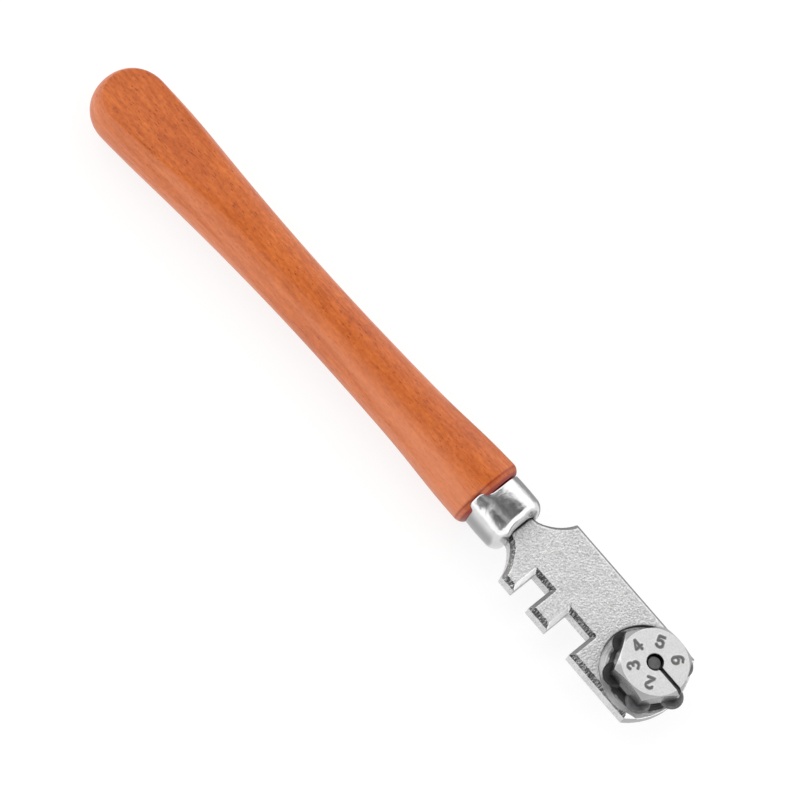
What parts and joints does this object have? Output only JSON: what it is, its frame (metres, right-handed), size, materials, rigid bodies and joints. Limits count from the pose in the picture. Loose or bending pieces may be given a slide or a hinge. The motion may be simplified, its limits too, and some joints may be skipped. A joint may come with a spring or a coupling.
{
  "type": "glass cutter",
  "caption": "Hand glass cutter: a turned wooden handle, a ferrule, and a notched metal head with an indexing turret of small cutting wheels.",
  "frame": {"origin": "centre of the tool's bounding box, which lies on the handle's axis about halfway along the tool", "axes": "+X along the tool towards the cutting wheels, +Z square to the head plate on the numbered side of the turret, -Y the side with the breaking notches"},
  "size_m": [0.1748, 0.0222, 0.0166],
  "materials": {
    "lacquered_wood": "orange-brown stain under gloss lacquer",
    "bright_ferrule": "bright nickel plate",
    "plated_casting": "pebbled casting, nickel plated",
    "washer_steel": "plain steel",
    "screw_steel": "dark oiled steel",
    "turret_base_steel": "turned steel, darkened",
    "turret_cap_steel": "satin top with bright sides",
    "wheel_steel": "dark hardened steel, ground edge",
    "axle_steel": "ground pin"
  },
  "bodies": {
    "tool": {"handle": "lacquered_wood", "ferrule": "bright_ferrule", "head_casting": "plated_casting", "thrust_washer": "washer_steel", "spring_washer": "washer_steel"},
    "turret": {"turret_cap": "turret_cap_steel", "turret_base": "turret_base_steel", "pivot_screw": "screw_steel", "wheel_axle_1": "axle_steel", "wheel_axle_2": "axle_steel", "wheel_axle_3": "axle_steel", "wheel_axle_4": "axle_steel", "wheel_axle_5": "axle_steel", "wheel_axle_6": "axle_steel"},
    "wheel_1": {"cutting_wheel_1": "wheel_steel"},
    "wheel_2": {"cutting_wheel_2": "wheel_steel"},
    "wheel_3": {"cutting_wheel_3": "wheel_steel"},
    "wheel_4": {"cutting_wheel_4": "wheel_steel"},
    "wheel_5": {"cutting_wheel_5": "wheel_steel"},
    "wheel_6": {"cutting_wheel_6": "wheel_steel"}
  },
  "joints": [
    {"name": "turret_index", "type": "hinge", "parent": "tool", "child": "turret", "pos_m": [0.0777, 0.0009, 0.0029], "axis": [0, 0, 1], "continuous": true},
    {"name": "wheel_1_spin", "type": "hinge", "parent": "turret", "child": "wheel_1", "pos_m": [0.0847, 0.0009, 0.00298], "axis": [0, 0, 1], "continuous": true},
    {"name": "wheel_2_spin", "type": "hinge", "parent": "turret", "child": "wheel_2", "pos_m": [0.0812, -0.00516, 0.00298], "axis": [0, 0, 1], "continuous": true},
    {"name": "wheel_3_spin", "type": "hinge", "parent": "turret", "child": "wheel_3", "pos_m": [0.0742, -0.00516, 0.00298], "axis": [0, 0, 1], "continuous": true},
    {"name": "wheel_4_spin", "type": "hinge", "parent": "turret", "child": "wheel_4", "pos_m": [0.0707, 0.0009, 0.00298], "axis": [0, 0, 1], "continuous": true},
    {"name": "wheel_5_spin", "type": "hinge", "parent": "turret", "child": "wheel_5", "pos_m": [0.0742, 0.00696, 0.00298], "axis": [0, 0, 1], "continuous": true},
    {"name": "wheel_6_spin", "type": "hinge", "parent": "turret", "child": "wheel_6", "pos_m": [0.0812, 0.00696, 0.00298], "axis": [0, 0, 1], "continuous": true}
  ]
}
